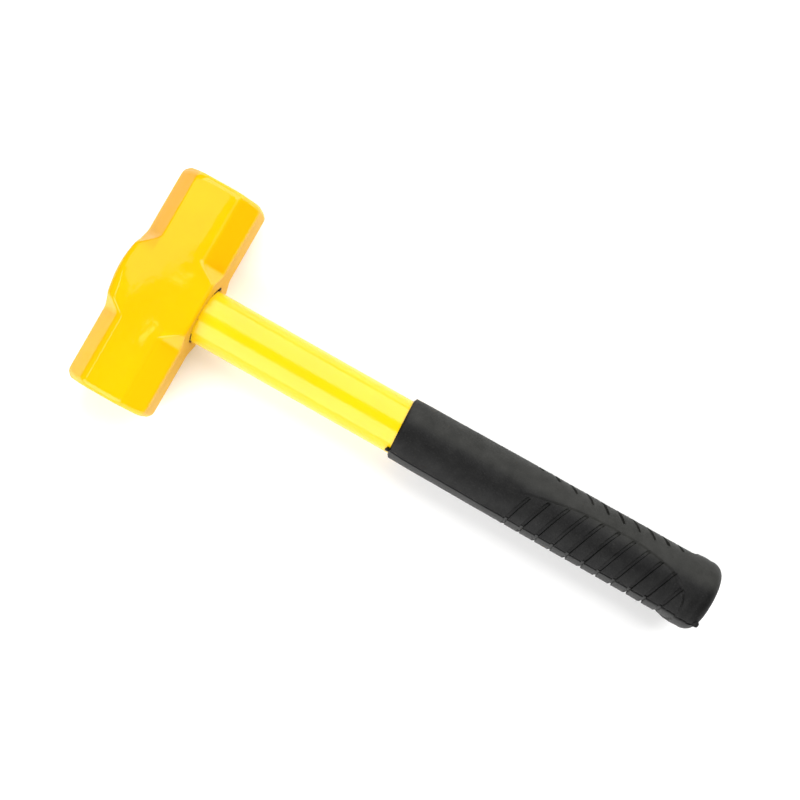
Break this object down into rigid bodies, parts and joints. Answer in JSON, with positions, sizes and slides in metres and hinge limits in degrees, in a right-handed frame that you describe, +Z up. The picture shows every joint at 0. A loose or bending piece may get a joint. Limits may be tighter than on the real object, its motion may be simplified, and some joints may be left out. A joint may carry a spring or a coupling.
{
  "type": "hand sledge hammer",
  "caption": "Short double-faced sledge hammer with an octagonal painted steel head, a round tubular handle and a black rubber sleeve grip, lying on its cheek.",
  "frame": {"origin": "middle of the lower cheek of the head, straight under the eye, with the hammer lying on that cheek", "axes": "+X along the handle from head to butt, +Y along the striking axis towards one face, +Z up through the two cheeks"},
  "size_m": [0.2893, 0.1047, 0.038],
  "materials": {
    "head": "gloss golden yellow enamel over forged steel",
    "handle_tube": "gloss lemon yellow enamel over steel tube",
    "expansion_plug": "gloss yellow enamel over steel",
    "grip_sleeve": "satin moulded black rubber"
  },
  "bodies": {
    "root": {"head": "head", "handle_tube": "handle_tube", "expansion_plug": "expansion_plug", "grip_sleeve": "grip_sleeve"}
  },
  "joints": []
}
